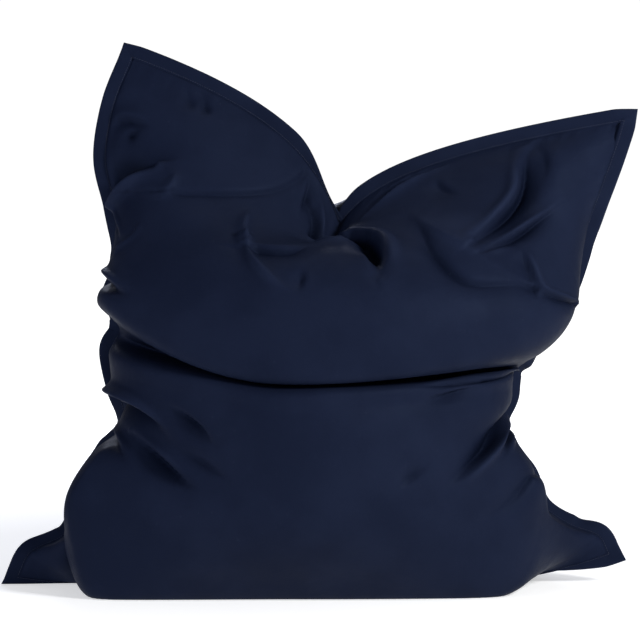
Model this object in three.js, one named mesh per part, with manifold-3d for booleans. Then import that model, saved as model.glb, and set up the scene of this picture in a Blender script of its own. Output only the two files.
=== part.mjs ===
// Giant bean bag, standing up after a push into the middle of its top edge.
// Two equal rectangular panels are sewn together all round with a flat topstitched hem.
// Millimetres. X runs to the right as seen from the front, Y to the back, Z up from the floor.
import * as THREE from 'three';
import Module from 'manifold-3d';

// Cloth of each panel, measured flat inside the seam
const PANEL_WIDTH = 1340;
const PANEL_HEIGHT = 1740;

// Flat sewn hem outside the seam
const HEM_WIDTH = 28;
const HEM_THICKNESS = 4;
// Narrow rest of the hem where the seam lies under the bag
const HEM_UNDER_WIDTH = 3;
// Share of the lower seam, from each corner, over which the hem narrows
const HEM_UNDER_SHARE = 0.1;
// Share of the upper seam, each side of the notch, over which the hem is folded away,
// and the part of its width that is left at the bottom of the notch
const HEM_NOTCH_REACH = 0.12;
const HEM_NOTCH_PART = 0.12;
// Longest reach of the hem at a corner, in hem widths
const HEM_CORNER_REACH = 1.45;

// Share of the width, from the left seam, at which the top is pushed in
const NOTCH_SHARE = 0.425;
// Share of the width on each side over which the fullness changes to that of the middle
const SHOULDER_SHARE = 0.28;

// Cells across each panel, and cells between the heights listed
const COLUMNS = 48;
const ROW_BANDS = readTable(`
  top    cells
  0.14   4
  0.26   7
  0.43   9
  0.56   11
  1.00   23
`);
// Points worked out across each row before they are spaced evenly along the cloth
const ROW_SAMPLES = 160;

// Length of cloth beside a seam over which a crease fades out
const CREASE_FADE = 45;
// Steps along each crease line
const CREASE_STEPS = 32;
// Place and width of the raised side of a crease, in crease widths
const CREST_PLACE = 1.9;
const CREST_WIDTH = 1.2;

// Room taken away under the floor to leave the flat base
const FLOOR_CUT = 200;

// Paths of the two side seams from the floor (v 0) to the tips of the top corners (v 1).
// The turn is how far the hem leans to the back, as a slope.
const SEAMS = readTable(`
  v     leftX  leftY  leftZ  leftTurn  rightX  rightY  rightZ  rightTurn
  0.00  -634   22     14     0.0       606     30      62      0.0
  0.04  -610   26     62     0.1       586     30      98      0.1
  0.09  -544   34     96     0.3       526     34      122     0.3
  0.14  -520   48     130    0.8       470     42      162     0.8
  0.20  -505   56     206    1.5       444     46      232     1.5
  0.27  -457   48     286    1.8       404     42      292     1.7
  0.33  -409   30     340    1.0       376     22      340     0.8
  0.38  -420   18     410    0.2       390     18      390     0.4
  0.44  -434   18     491    0.1       400     18      446     0.5
  0.50  -416   16     531    0.3       427     14      469     0.7
  0.55  -420   14     562    0.7       445     10      490     1.4
  0.60  -442   14     596    1.3       482     8       534     1.5
  0.66  -430   14     642    1.4       512     6       594     1.1
  0.72  -418   16     705    1.0       526     4       652     0.5
  0.80  -426   24     795    0.3       554     2       752     0.2
  0.88  -446   38     905    0.1       589     -2      852     0.0
  0.94  -428   50     1010   0.0       613     -6      922     0.0
  1.00  -392   62     1102   0.0       626     -10     968     0.0
`);

// Sections of the front panel, from the lower seam (v 0) to the upper seam (v 1).
// midZ is the height in the middle of the width. left, centre and right are how far the
// cloth stands out from the line between the seams. leftRise and rightRise bend the way
// the height runs out to each seam. A small corner makes a boxy section and a large one
// makes a sharp edge. dip widens the bottom of the notch. bulge swells the sides.
const FRONT = readTable(`
  v      midZ  left  centre  right  leftRise  rightRise  corner  dip    bulge
  0.00   -8    0     0       0      4.0       4.0        0.90    0.00   0
  0.05   -8    60    70      60     6.0       5.5        0.50    0.00   0
  0.10   -8    144   136     132    12.0      10.0       0.20    0.00   6
  0.14   -8    214   198     192    21.0      15.0       0.13    0.00   24
  0.165  4     242   224     214    19.0      14.0       0.14    0.00   42
  0.20   56    282   272     262    10.0      8.5        0.28    0.00   54
  0.26   156   324   346     316    4.4       4.2        0.55    0.00   56
  0.34   290   320   360     316    2.0       2.1        0.80    0.00   40
  0.41   393   318   354     312    1.4       1.3        0.86    0.03   26
  0.455  440   304   336     298    1.0       0.9        0.92    0.06   16
  0.485  446   206   242     202    1.1       0.8        1.05    0.06   8
  0.515  450   250   284     248    1.4       1.1        1.00    0.06   16
  0.56   453   310   342     310    1.8       1.4        0.90    0.05   44
  0.62   530   310   344     316    1.6       1.6        0.86    0.03   60
  0.69   635   288   312     298    1.5       1.5        0.98    0.04   56
  0.76   702   250   245     258    1.15      1.02       1.18    0.07   34
  0.82   721   212   158     222    0.82      0.72       1.40    0.07   18
  0.88   709   162   100     172    0.58      0.52       1.60    0.05   10
  0.94   692   96    46      102    0.44      0.40       1.80    0.04   5
  1.00   752   0     0       0      0.405     0.42       2.00    0.05   0
`);

// Sections of the back panel, read in the same way
const BACK = readTable(`
  v      midZ  left  centre  right  leftRise  rightRise  corner  dip    bulge
  0.00   -8    0     0       0      4.0       4.0        0.90    0.00   0
  0.05   -8    60    70      60     6.0       5.5        0.50    0.00   0
  0.10   -8    150   145     140    11.0      9.0        0.22    0.00   0
  0.14   -8    216   212     198    17.0      12.5       0.15    0.00   0
  0.165  4     242   236     215    16.0      12.0       0.19    0.00   0
  0.20   56    262   278     258    8.5       7.5        0.38    0.00   6
  0.26   158   312   338     306    4.2       4.0        0.60    0.00   12
  0.34   294   308   350     304    2.2       2.2        0.84    0.00   12
  0.41   394   286   330     282    1.4       1.3        0.92    0.00   10
  0.455  440   260   296     254    1.05      1.0        0.99    0.04   8
  0.485  453   190   216     186    1.0       0.85       1.05    0.04   6
  0.515  461   222   248     220    1.0       0.85       1.00    0.04   8
  0.56   480   268   298     272    1.15      1.0        0.92    0.03   14
  0.62   555   284   314     290    1.7       1.7        0.87    0.00   18
  0.69   652   264   294     274    1.5       1.5        0.98    0.04   18
  0.76   735   228   242     238    1.15      1.02       1.18    0.07   16
  0.82   778   195   172     205    0.82      0.72       1.40    0.08   12
  0.88   785   152   105     162    0.58      0.52       1.60    0.06   8
  0.94   772   90    48      96     0.45      0.42       1.80    0.04   5
  1.00   752   0     0       0      0.405     0.42       2.00    0.05   0
`);

// Creases. side is -1 on the front panel and 1 on the back one. width is half the width of
// the valley and depth is how far it goes in. crest is the share of the depth by which the
// cloth beside it, to the left of the way the line runs, is raised. start and end are the
// shares of the depth left at the ends. The line is up to four points on the panel, each
// with its share of the width (u) and of the height (v).
const CREASES = readTable(`
  side  width  depth  crest  start  end  u1    v1    u2    v2    u3    v3    u4    v4
  -1    24     16     0.4    0.6    0.6  0.350 0.960 0.293 0.901 0.174 0.854 0.030 0.818
  -1    24     20     0.4    0.8    0.0  0.000 0.815 0.036 0.842 0.074 0.872 0.120 0.888
  -1    24     -13    0.0    0.0    0.0  0.315 0.830 0.325 0.778 0.350 0.735 0.420 0.684
  -1    24     22     0.3    0.2    0.0  0.345 0.780 0.368 0.748 0.405 0.720 0.440 0.690
  -1    24     -12    0.0    0.0    0.2  0.343 0.782 0.405 0.797 0.469 0.806 0.519 0.793
  -1    24     28     0.0    0.0    0.0  0.400 0.850 0.440 0.848 0.480 0.846 0.520 0.836
  -1    26     34     0.3    0.0    0.0  0.495 0.900 0.541 0.805 0.559 0.755 0.548 0.709
  -1    24     22     0.0    0.0    0.0  0.421 0.950 0.430 0.920 0.442 0.880 0.452 0.840
  -1    26     26     0.4    0.0    0.2  0.850 0.960 0.838 0.910 0.796 0.854 0.717 0.789
  -1    24     14     0.3    0.0    0.1  0.916 0.853 0.846 0.817 0.780 0.786 0.727 0.762
  -1    24     -9     0.0    0.0    0.0  0.619 0.895 0.655 0.812 0.705 0.767 0.756 0.731
  -1    28     12     0.0    0.0    0.2  0.623 0.836 0.657 0.751 0.709 0.710 0.796 0.709
  -1    24     14     0.3    0.4    0.8  0.808 0.710 0.836 0.690 0.880 0.672 1.000 0.650
  -1    24     -16    0.0    0.0    0.0  0.560 0.925 0.610 0.942 0.660 0.955 0.717 0.962
  -1    24     12     0.3    0.0    0.6  0.700 0.428 0.770 0.438 0.840 0.444 0.978 0.448
  -1    24     18     0.3    0.8    0.0  1.000 0.368 0.900 0.340 0.800 0.308 0.699 0.286
  -1    24     22     0.5    0.8    0.0  0.000 0.398 0.112 0.397 0.185 0.380 0.262 0.349
  -1    26     12     0.2    0.2    0.0  0.140 0.347 0.222 0.326 0.293 0.310 0.345 0.294
  -1    26     10     0.0    0.0    0.0  0.215 0.403 0.271 0.390 0.307 0.372 0.341 0.354
  -1    26     10     0.2    0.8    0.0  0.000 0.335 0.100 0.318 0.168 0.304 0.210 0.288
  -1    26     20     0.0    0.0    0.6  0.045 0.152 0.062 0.105 0.085 0.055 0.125 0.010
  -1    24     16     0.4    0.8    0.0  0.000 0.655 0.080 0.660 0.130 0.650 0.172 0.646
  1     24     18     0.4    0.8    0.0  0.000 0.402 0.070 0.398 0.150 0.380 0.230 0.345
  1     24     18     0.4    0.8    0.0  1.000 0.375 0.930 0.366 0.850 0.340 0.770 0.310
  1     28     10     0.0    0.0    0.0  0.150 0.340 0.210 0.322 0.270 0.310 0.340 0.300
  1     26     10     0.0    0.0    0.0  0.870 0.320 0.810 0.305 0.750 0.295 0.700 0.290
  1     28     22     0.4    0.0    0.8  0.330 0.900 0.240 0.830 0.120 0.765 0.000 0.740
  1     26     16     0.3    0.8    0.0  0.000 0.650 0.060 0.650 0.120 0.662 0.180 0.680
  1     28     26     0.4    0.0    0.2  0.860 0.930 0.820 0.870 0.770 0.820 0.700 0.790
  1     28     20     0.3    0.0    0.8  0.610 0.880 0.700 0.785 0.850 0.712 1.000 0.680
  1     24     14     0.3    0.8    0.0  1.000 0.600 0.940 0.602 0.880 0.612 0.820 0.625
  1     28     24     0.3    0.0    0.0  0.420 0.930 0.405 0.880 0.395 0.835 0.385 0.790
  1     28     22     0.0    0.0    0.0  0.480 0.900 0.490 0.860 0.500 0.820 0.510 0.770
  1     26     18     0.0    0.0    0.6  0.050 0.150 0.065 0.100 0.085 0.050 0.120 0.010
  1     26     16     0.0    0.0    0.6  0.950 0.150 0.935 0.100 0.915 0.050 0.880 0.010
`);

// One object for each row, with a number under each name of the heading
function readTable(text) {
  const lines = text.trim().split('\n').map((line) => line.trim().split(/\s+/));
  const names = lines[0];
  return lines.slice(1).map((cells) => {
    const row = {};
    names.forEach((name, i) => {
      row[name] = Number(cells[i]);
    });
    return row;
  });
}

function smooth(x) {
  const t = THREE.MathUtils.clamp(x, 0, 1);
  return t * t * (3 - 2 * t);
}

// Slope of a column of a table at row i, from the rows beside it
function slopeAt(rows, i, name, key) {
  const rise = (a, b) => (rows[b][name] - rows[a][name]) / (rows[b][key] - rows[a][key]);
  const last = rows.length - 1;
  if (i === 0) {
    return rise(0, 1);
  }
  if (i === last) {
    return rise(last - 1, last);
  }
  const before = rows[i][key] - rows[i - 1][key];
  const after = rows[i + 1][key] - rows[i][key];
  return (rise(i - 1, i) * after + rise(i, i + 1) * before) / (before + after);
}

// All columns of a table at a value of its key column, by a cubic through the rows
function readAt(rows, value, key = 'v') {
  let i = 0;
  while (i < rows.length - 2 && value >= rows[i + 1][key]) {
    i += 1;
  }
  const span = rows[i + 1][key] - rows[i][key];
  const s = (value - rows[i][key]) / span;
  const s2 = s * s;
  const s3 = s2 * s;
  const result = {};
  for (const name of Object.keys(rows[0])) {
    result[name] = (2 * s3 - 3 * s2 + 1) * rows[i][name]
      + (s3 - 2 * s2 + s) * span * slopeAt(rows, i, name, key)
      + (3 * s2 - 2 * s3) * rows[i + 1][name]
      + (s3 - s2) * span * slopeAt(rows, i + 1, name, key);
  }
  return result;
}

// Share of the rise from the notch out to a seam, rounded at the bottom of the notch
function riseShare(distance, reach, dip, power) {
  const rounded = Math.hypot(distance, dip) - dip;
  return THREE.MathUtils.clamp(rounded / (Math.hypot(reach, dip) - dip), 0, 1) ** power;
}

// One row of a panel, with its points spaced evenly along the cloth
function panelRow(side, v) {
  const seam = readAt(SEAMS, v);
  const cut = readAt(side < 0 ? FRONT : BACK, v);
  const middle = (seam.leftX + seam.rightX) / 2;
  const half = (seam.rightX - seam.leftX) / 2;
  const points = [];
  for (let i = 0; i <= ROW_SAMPLES; i += 1) {
    const t = i / ROW_SAMPLES;
    const angle = Math.PI * t;
    const x = middle - half * Math.cos(angle) - cut.bulge * Math.sin(2 * angle);
    const depth = cut.centre
      + (cut.left - cut.centre) * smooth((0.5 - t) / SHOULDER_SHARE)
      + (cut.right - cut.centre) * smooth((t - 0.5) / SHOULDER_SHARE);
    const out = depth * Math.max(Math.sin(angle), 0) ** cut.corner;
    const fromNotch = (x - seam.leftX) / (2 * half) - NOTCH_SHARE;
    const z = fromNotch < 0
      ? cut.midZ + (seam.leftZ - cut.midZ)
        * riseShare(fromNotch, NOTCH_SHARE, cut.dip, cut.leftRise)
      : cut.midZ + (seam.rightZ - cut.midZ)
        * riseShare(fromNotch, 1 - NOTCH_SHARE, cut.dip, cut.rightRise);
    const y = seam.leftY + (seam.rightY - seam.leftY) * t + side * out;
    points.push(new THREE.Vector3(x, y, z));
  }
  const run = [0];
  for (let i = 1; i < points.length; i += 1) {
    run.push(run[i - 1] + points[i].distanceTo(points[i - 1]));
  }
  const row = [];
  let i = 0;
  for (let c = 0; c <= COLUMNS; c += 1) {
    const target = run[ROW_SAMPLES] * c / COLUMNS;
    while (i < ROW_SAMPLES - 1 && run[i + 1] < target) {
      i += 1;
    }
    const share = (target - run[i]) / (run[i + 1] - run[i]);
    row.push(points[i].clone().lerp(points[i + 1], share));
  }
  return row;
}

// Heights of the rows, as shares of the height of the panel
function rowHeights() {
  const heights = [0];
  let low = 0;
  for (const band of ROW_BANDS) {
    for (let i = 1; i <= band.cells; i += 1) {
      heights.push(low + (band.top - low) * i / band.cells);
    }
    low = band.top;
  }
  return heights;
}

// Crease lines on the flat cloth, as rows of points in millimetres
function creaseLines() {
  return CREASES.map((crease) => {
    const knots = [1, 2, 3, 4].map((n) => ({
      run: 0,
      x: crease[`u${n}`] * PANEL_WIDTH,
      y: crease[`v${n}`] * PANEL_HEIGHT,
    }));
    for (let i = 1; i < knots.length; i += 1) {
      const step = Math.hypot(knots[i].x - knots[i - 1].x, knots[i].y - knots[i - 1].y);
      knots[i].run = knots[i - 1].run + step;
    }
    const length = knots[knots.length - 1].run;
    const line = [];
    for (let i = 0; i <= CREASE_STEPS; i += 1) {
      line.push(readAt(knots, length * i / CREASE_STEPS, 'run'));
    }
    return { crease, line };
  });
}

// Nearest place on a crease line: distance across it (left positive) and share along it
function nearestOnLine(line, x, y) {
  let best = { across: Infinity, along: 0 };
  for (let i = 0; i < line.length - 1; i += 1) {
    const dx = line[i + 1].x - line[i].x;
    const dy = line[i + 1].y - line[i].y;
    const t = THREE.MathUtils.clamp(
      ((x - line[i].x) * dx + (y - line[i].y) * dy) / (dx * dx + dy * dy), 0, 1);
    const ex = x - line[i].x - t * dx;
    const ey = y - line[i].y - t * dy;
    const distance = Math.hypot(ex, ey);
    if (distance < Math.abs(best.across)) {
      best = {
        across: distance * (dx * ey - dy * ex < 0 ? -1 : 1),
        along: (i + t) / (line.length - 1),
      };
    }
  }
  return best;
}

// How far the creases move the cloth outwards at a place on a panel
function creaseLift(lines, side, u, v) {
  const x = u * PANEL_WIDTH;
  const y = v * PANEL_HEIGHT;
  let lift = 0;
  for (const { crease, line } of lines) {
    if (crease.side !== side) {
      continue;
    }
    const { across, along } = nearestOnLine(line, x, y);
    const share = along < 0.5
      ? crease.start + (1 - crease.start) * smooth(2 * along)
      : crease.end + (1 - crease.end) * smooth(2 - 2 * along);
    const valley = Math.exp(-((across / crease.width) ** 2));
    const crestAt = (across / crease.width - CREST_PLACE) / CREST_WIDTH;
    const crest = crease.crest * Math.exp(-(crestAt ** 2));
    lift += share * crease.depth * (crest - valley);
  }
  return lift * smooth(Math.min(x, PANEL_WIDTH - x) / CREASE_FADE)
    * smooth(Math.min(y, PANEL_HEIGHT - y) / CREASE_FADE);
}

// Rows of points of one panel with its creases
function panelGrid(side, heights) {
  const smoothGrid = heights.map((v) => panelRow(side, v));
  const lines = creaseLines();
  const last = heights.length - 1;
  return smoothGrid.map((row, r) => row.map((point, c) => {
    if (r === 0 || r === last || c === 0 || c === COLUMNS) {
      return point;
    }
    const across = row[c + 1].clone().sub(row[c - 1]);
    const up = smoothGrid[r + 1][c].clone().sub(smoothGrid[r - 1][c]);
    const normal = across.cross(up).multiplyScalar(-side).normalize();
    const lift = creaseLift(lines, side, c / COLUMNS, heights[r]);
    return point.clone().addScaledVector(normal, lift);
  }));
}

// Places round the seam, anticlockwise as seen from the front, with the way the hem points
function seamLoop(grid, heights) {
  const last = heights.length - 1;
  const loop = [];
  for (let c = 0; c < COLUMNS; c += 1) {
    loop.push({ r: 0, c, edge: 'under' });
  }
  for (let r = 0; r < last; r += 1) {
    loop.push({ r, c: COLUMNS, edge: 'right' });
  }
  for (let c = COLUMNS; c > 0; c -= 1) {
    loop.push({ r: last, c, edge: 'top' });
  }
  for (let r = last; r > 0; r -= 1) {
    loop.push({ r, c: 0, edge: 'left' });
  }
  return loop.map((place) => ({
    ...place,
    corner: (place.r === 0 || place.r === last) && (place.c === 0 || place.c === COLUMNS),
    u: place.c / COLUMNS,
    v: heights[place.r],
    point: grid[place.r][place.c],
  }));
}

// Lean of the hem before it is squared to the seam
function hemLean(edge, v) {
  const seam = readAt(SEAMS, v);
  if (edge === 'left') {
    return new THREE.Vector3(-1, seam.leftTurn, 0);
  }
  if (edge === 'right') {
    return new THREE.Vector3(1, seam.rightTurn, 0);
  }
  return edge === 'top' ? new THREE.Vector3(0, 0, 1) : new THREE.Vector3(0, -0.3, -1);
}

// Way out of the seam for the hem along one edge
function hemWay(edge, place, tangent) {
  const lean = hemLean(edge, place.v);
  return lean.clone().addScaledVector(tangent, -lean.dot(tangent)).normalize();
}

// Width of the hem at a place round the seam
function hemWidth(place) {
  if (place.edge === 'under' || place.r === 0) {
    const fromCorner = Math.min(place.u, 1 - place.u) / HEM_UNDER_SHARE;
    return Math.max(HEM_WIDTH * (1 - fromCorner), HEM_UNDER_WIDTH);
  }
  if (place.edge === 'top') {
    const fromNotch = smooth(Math.abs(place.u - NOTCH_SHARE) / HEM_NOTCH_REACH);
    return HEM_WIDTH * (HEM_NOTCH_PART + (1 - HEM_NOTCH_PART) * fromNotch);
  }
  return HEM_WIDTH;
}

// Adds the thickness and the width of the hem to each place round the seam
function hemRing(loop) {
  const count = loop.length;
  return loop.map((place, i) => {
    const before = loop[(i + count - 1) % count];
    const after = loop[(i + 1) % count];
    const cameAlong = place.point.clone().sub(before.point).normalize();
    const goesAlong = after.point.clone().sub(place.point).normalize();
    let way;
    let tangent;
    if (place.corner) {
      const first = hemWay(before.edge, place, cameAlong);
      const second = hemWay(place.edge, place, goesAlong);
      const reach = Math.sqrt(2 / (1 + first.dot(second)));
      way = first.clone().add(second).setLength(Math.min(reach, HEM_CORNER_REACH));
      tangent = cameAlong.clone().add(goesAlong).normalize();
    } else {
      tangent = cameAlong.clone().add(goesAlong).normalize();
      way = hemWay(place.edge, place, tangent);
    }
    const half = tangent.clone().cross(way).normalize().multiplyScalar(HEM_THICKNESS / 2);
    const outer = place.point.clone().addScaledVector(way, hemWidth(place));
    return {
      ...place,
      frontSeam: place.point.clone().sub(half),
      backSeam: place.point.clone().add(half),
      frontOuter: outer.clone().sub(half),
      backOuter: outer.clone().add(half),
    };
  });
}

// Closed surface of the two panels and the hem
function bagGeometry() {
  const heights = rowHeights();
  const grids = [panelGrid(-1, heights), panelGrid(1, heights)];
  const ring = hemRing(seamLoop(grids[0], heights));
  const positions = [];
  const indices = [];
  const addPoint = (point) => {
    positions.push(point.x, point.y, point.z);
    return positions.length / 3 - 1;
  };
  const addQuad = (a, b, c, d) => {
    indices.push(a, b, c, a, c, d);
  };
  const hemAt = new Map();
  for (const place of ring) {
    hemAt.set(`${place.r} ${place.c}`, {
      seam: [addPoint(place.frontSeam), addPoint(place.backSeam)],
      outer: [addPoint(place.frontOuter), addPoint(place.backOuter)],
    });
  }
  grids.forEach((grid, side) => {
    const numbers = grid.map((row, r) => row.map((point, c) => {
      const hem = hemAt.get(`${r} ${c}`);
      return hem ? hem.seam[side] : addPoint(point);
    }));
    for (let r = 0; r < heights.length - 1; r += 1) {
      for (let c = 0; c < COLUMNS; c += 1) {
        const quad = [
          numbers[r][c],
          numbers[r][c + 1],
          numbers[r + 1][c + 1],
          numbers[r + 1][c],
        ];
        addQuad(...(side === 0 ? quad : quad.reverse()));
      }
    }
  });
  ring.forEach((place, i) => {
    const next = ring[(i + 1) % ring.length];
    const here = hemAt.get(`${place.r} ${place.c}`);
    const there = hemAt.get(`${next.r} ${next.c}`);
    addQuad(here.seam[0], here.outer[0], there.outer[0], there.seam[0]);
    addQuad(here.outer[0], here.outer[1], there.outer[1], there.outer[0]);
    addQuad(here.seam[1], there.seam[1], there.outer[1], here.outer[1]);
  });
  const geometry = new THREE.BufferGeometry();
  geometry.setAttribute('position', new THREE.Float32BufferAttribute(positions, 3));
  geometry.setIndex(indices);
  return geometry;
}

const wasm = await Module();
wasm.setup();

function toSolid(geometry) {
  return new wasm.Manifold(new wasm.Mesh({
    numProp: 3,
    vertProperties: new Float32Array(geometry.getAttribute('position').array),
    triVerts: new Uint32Array(geometry.getIndex().array),
  }));
}

function fromSolid(solid) {
  const mesh = solid.getMesh();
  const geometry = new THREE.BufferGeometry();
  geometry.setAttribute('position', new THREE.BufferAttribute(mesh.vertProperties, 3));
  geometry.setIndex(new THREE.BufferAttribute(mesh.triVerts, 1));
  return geometry;
}

// Cuts the bag off at the floor and puts the middle of its footprint over the origin
function standOnFloor(geometry) {
  geometry.computeBoundingBox();
  const size = geometry.boundingBox.getSize(new THREE.Vector3());
  const below = wasm.Manifold.cube([2 * size.x, 2 * size.y, FLOOR_CUT], true)
    .translate([0, 0, -FLOOR_CUT / 2]);
  const cut = fromSolid(toSolid(geometry).subtract(below));
  cut.computeBoundingBox();
  const middle = cut.boundingBox.getCenter(new THREE.Vector3());
  cut.translate(-middle.x, -middle.y, 0);
  cut.computeVertexNormals();
  return cut;
}

const cover = new THREE.MeshStandardMaterial({
  color: 0x1a2134,
  roughness: 0.55,
  metalness: 0,
});

const bag = new THREE.Mesh(standOnFloor(bagGeometry()), cover);
bag.name = 'bean_bag';

const group = new THREE.Group();
group.name = 'giant_bean_bag';
group.add(bag);

export default group;
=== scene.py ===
import math

import bmesh
import bpy
import numpy as np
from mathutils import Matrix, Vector
from mathutils.kdtree import KDTree


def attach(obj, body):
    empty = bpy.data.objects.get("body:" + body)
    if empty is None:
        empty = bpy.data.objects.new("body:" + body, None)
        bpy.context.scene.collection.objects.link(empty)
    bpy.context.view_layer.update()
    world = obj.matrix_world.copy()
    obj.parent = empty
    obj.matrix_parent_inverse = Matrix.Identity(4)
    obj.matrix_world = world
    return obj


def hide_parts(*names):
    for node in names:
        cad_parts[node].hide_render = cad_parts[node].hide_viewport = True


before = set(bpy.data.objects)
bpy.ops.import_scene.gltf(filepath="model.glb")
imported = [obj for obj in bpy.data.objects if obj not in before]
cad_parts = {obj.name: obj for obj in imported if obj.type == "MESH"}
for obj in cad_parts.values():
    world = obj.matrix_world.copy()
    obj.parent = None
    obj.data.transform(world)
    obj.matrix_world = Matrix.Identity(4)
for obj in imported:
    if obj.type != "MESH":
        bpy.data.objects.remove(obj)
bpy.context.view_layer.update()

# Giant bean bag: two panels of coated polyester sewn all round, standing on its lower edge.
# The shape is worked out in millimetres and moved to the frame in metres.
MM = 0.001
# Place of the frame's origin in the tables' own millimetres
ORIGIN_X = -5.80
ORIGIN_Y = 24.29

# Cloth of each panel, measured flat inside the seam
PANEL_WIDTH = 1340
PANEL_HEIGHT = 1740
# Deepest part of the notch and width of the shoulders, as shares of the panel's width
NOTCH_SHARE = 0.425
SHOULDER_SHARE = 0.28

HEM_WIDTH = 28
HEM_THICKNESS = 3.2
# Under the bag the hem narrows to this width over this share of the edge from each corner
HEM_UNDER_WIDTH = 3
HEM_UNDER_SHARE = 0.1
# At the notch it narrows to this part of its width, within this share of the edge
HEM_NOTCH_PART = 0.12
HEM_NOTCH_REACH = 0.12
# How far its points reach at the corners, in hem widths at the most
HEM_CORNER_REACH = 1.45

# Cells of the front panel. The back and the filling take every second line of its grid.
CELLS_ACROSS = 250
CELLS_UP = 316
COARSE_STEP = 2
ROW_SAMPLES = 400
# Flat place of the back panel's cloth, in panel widths to the right of the front's
PANEL_PITCH = 1.5
# Points nearer than this are one, in metres: along the seam and within the hem and stitches
SEAM_GAP = 0.0002
HEM_GAP = 0.00002
THREAD_GAP = 0.000002

# Paths of the two side seams, from the lower corners (v 0) to the upper corners (v 1)
SEAMS = """
v     leftX  leftY  leftZ  leftTurn  rightX  rightY  rightZ  rightTurn
0.00  -634   22     14     0.0       606     30      62      0.0
0.04  -610   26     62     0.1       586     30      98      0.1
0.09  -544   34     96     0.3       526     34      122     0.3
0.14  -520   48     130    0.8       470     42      162     0.8
0.20  -505   56     206    1.5       444     46      232     1.5
0.27  -457   48     286    1.8       404     42      292     1.7
0.33  -409   30     340    1.0       376     22      340     0.8
0.38  -420   18     410    0.2       390     18      390     0.4
0.44  -434   18     491    0.1       400     18      446     0.5
0.50  -416   16     531    0.3       427     14      469     0.7
0.55  -420   14     562    0.7       445     10      490     1.4
0.60  -442   14     596    1.3       482     8       534     1.5
0.66  -430   14     642    1.4       512     6       594     1.1
0.72  -418   16     705    1.0       526     4       652     0.5
0.80  -426   24     795    0.3       554     2       752     0.2
0.88  -446   38     905    0.1       589     -2      852     0.0
0.94  -428   50     1010   0.0       613     -6      922     0.0
1.00  -392   62     1102   0.0       626     -10     968     0.0
"""

# Sections of the front panel, from the lower seam (v 0) to the upper seam (v 1)
FRONT = """
v      midZ  left  centre  right  leftRise  rightRise  corner  dip    bulge
0.00   -8    0     0       0      4.0       4.0        0.90    0.00   0
0.05   -8    60    70      60     6.0       5.5        0.50    0.00   0
0.10   -8    144   136     132    12.0      10.0       0.20    0.00   6
0.14   -8    214   198     192    21.0      15.0       0.13    0.00   24
0.165  4     242   224     214    19.0      14.0       0.14    0.00   42
0.20   56    282   272     262    10.0      8.5        0.28    0.00   54
0.26   156   324   346     316    4.4       4.2        0.55    0.00   56
0.34   290   320   360     316    2.0       2.1        0.80    0.00   40
0.41   393   318   354     312    1.4       1.3        0.86    0.03   26
0.455  440   304   336     298    1.0       0.9        0.92    0.06   16
0.485  446   206   242     202    1.1       0.8        1.05    0.06   8
0.515  450   250   284     248    1.4       1.1        1.00    0.06   16
0.56   453   310   342     310    1.8       1.4        0.90    0.05   44
0.62   530   310   344     316    1.6       1.6        0.86    0.03   60
0.69   635   288   312     298    1.5       1.5        0.98    0.04   56
0.76   702   250   245     258    1.15      1.02       1.18    0.07   34
0.82   721   212   158     222    0.82      0.72       1.40    0.07   18
0.88   709   162   100     172    0.58      0.52       1.60    0.05   10
0.94   692   96    46      102    0.44      0.40       1.80    0.04   5
1.00   752   0     0       0      0.405     0.42       2.00    0.05   0
"""

# Sections of the back panel, read in the same way
BACK = """
v      midZ  left  centre  right  leftRise  rightRise  corner  dip    bulge
0.00   -8    0     0       0      4.0       4.0        0.90    0.00   0
0.05   -8    60    70      60     6.0       5.5        0.50    0.00   0
0.10   -8    150   145     140    11.0      9.0        0.22    0.00   0
0.14   -8    216   212     198    17.0      12.5       0.15    0.00   0
0.165  4     242   236     215    16.0      12.0       0.19    0.00   0
0.20   56    262   278     258    8.5       7.5        0.38    0.00   6
0.26   158   312   338     306    4.2       4.0        0.60    0.00   12
0.34   294   308   350     304    2.2       2.2        0.84    0.00   12
0.41   394   286   330     282    1.4       1.3        0.92    0.00   10
0.455  440   260   296     254    1.05      1.0        0.99    0.04   8
0.485  453   190   216     186    1.0       0.85       1.05    0.04   6
0.515  461   222   248     220    1.0       0.85       1.00    0.04   8
0.56   480   268   298     272    1.15      1.0        0.92    0.03   14
0.62   555   284   314     290    1.7       1.7        0.87    0.00   18
0.69   652   264   294     274    1.5       1.5        0.98    0.04   18
0.76   735   228   242     238    1.15      1.02       1.18    0.07   16
0.82   778   195   172     205    0.82      0.72       1.40    0.08   12
0.88   785   152   105     162    0.58      0.52       1.60    0.06   8
0.94   772   90    48      96     0.45      0.42       1.80    0.04   5
1.00   752   0     0       0      0.405     0.42       2.00    0.05   0
"""

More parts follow.
